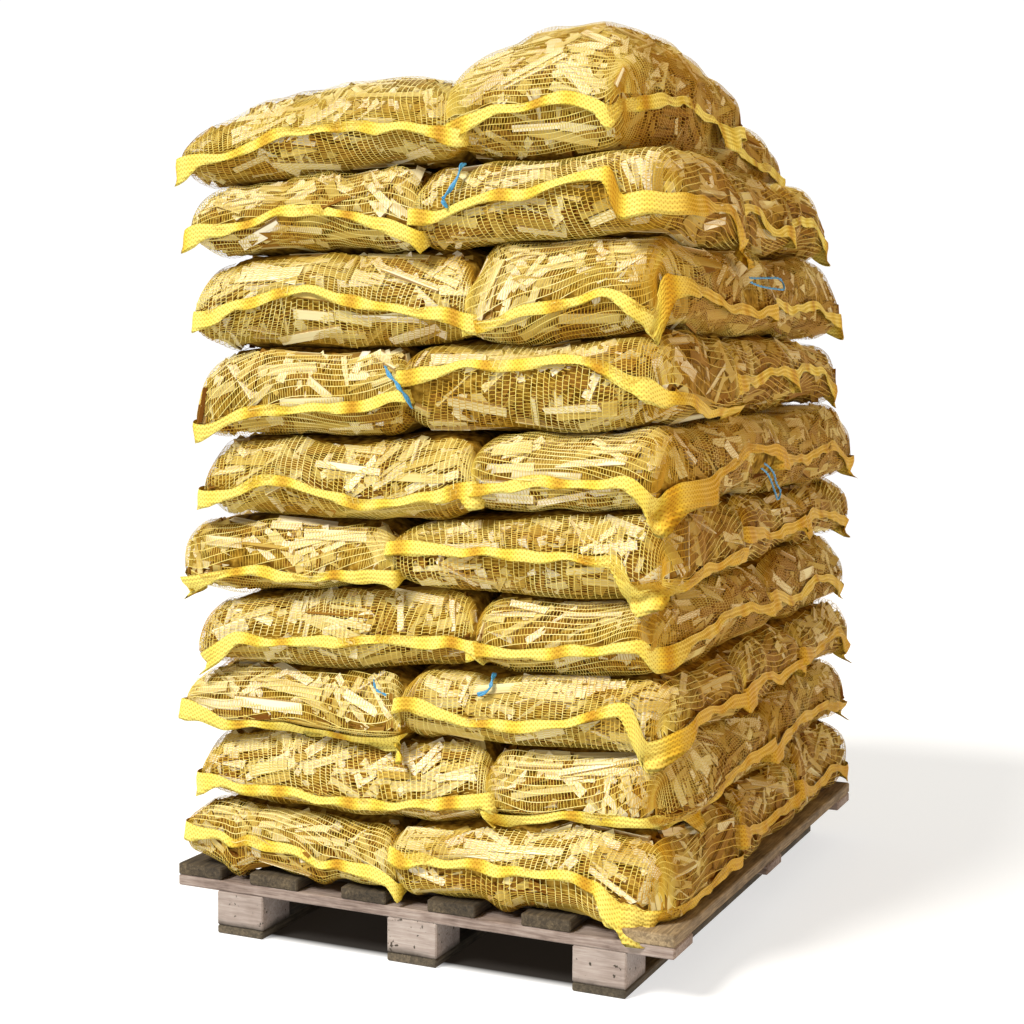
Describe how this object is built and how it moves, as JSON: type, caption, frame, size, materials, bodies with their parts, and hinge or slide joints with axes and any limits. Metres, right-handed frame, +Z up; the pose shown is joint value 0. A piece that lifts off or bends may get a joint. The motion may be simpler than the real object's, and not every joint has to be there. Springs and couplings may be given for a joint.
{
  "type": "pallet of sacks",
  "caption": "Wooden pallet loaded with layers of yellow net sacks full of kindling, each layer turned against the one below.",
  "frame": {"origin": "On the underside of the middle bottom board, in the middle of the pallet's footprint, on the floor.", "axes": "+Z is up. X runs along the pallet's 1.0 m side, the way the stringers run. Y runs along its 1.2 m side, the way the deck boards run; -Y is the front of the picture."},
  "size_m": [1.0144, 1.218, 1.68],
  "materials": {
    "bottom_board_wood": "weathered sawn softwood, dark grey brown",
    "block_wood": "pale pinkish grey sawn and pressed wood block",
    "stringer_wood": "weathered sawn softwood, pinkish grey",
    "deck_board_wood": "weathered sawn softwood, dark olive brown",
    "sack_netting": "open-knit polyolefin net, yellow",
    "sack_edge_band": "dense knitted edge band of the net, deep yellow",
    "kindling": "fresh split pine, pale cream",
    "draw_cord": "blue polyolefin twine"
  },
  "bodies": {
    "root": {"bottom_board_1": "bottom_board_wood", "bottom_board_2": "bottom_board_wood", "bottom_board_3": "bottom_board_wood", "block_front_left": "block_wood", "block_front_middle": "block_wood", "block_front_right": "block_wood", "block_middle_left": "block_wood", "block_middle_middle": "block_wood", "block_middle_right": "block_wood", "block_back_left": "block_wood", "block_back_middle": "block_wood", "block_back_right": "block_wood", "stringer_front": "stringer_wood", "stringer_middle": "stringer_wood", "stringer_back": "stringer_wood", "deck_board_1": "deck_board_wood", "deck_board_2": "deck_board_wood", "deck_board_3": "deck_board_wood", "deck_board_4": "deck_board_wood", "deck_board_5": "deck_board_wood", "deck_board_6": "deck_board_wood", "sack_layer_01": "sack_netting", "sack_layer_02": "sack_netting", "sack_layer_03": "sack_netting", "sack_layer_04": "sack_netting", "sack_layer_05": "sack_netting", "sack_layer_06": "sack_netting", "sack_layer_07": "sack_netting", "sack_layer_08": "sack_netting", "sack_layer_09": "sack_netting", "sack_layer_10": "sack_netting", "draw_cord_top_front": "draw_cord", "draw_cord_upper_side": "draw_cord", "draw_cord_upper_front": "draw_cord", "draw_cord_middle_side": "draw_cord", "draw_cord_middle_front": "draw_cord", "draw_cord_lower_front": "draw_cord", "draw_cord_lower_side": "draw_cord"}
  },
  "joints": []
}
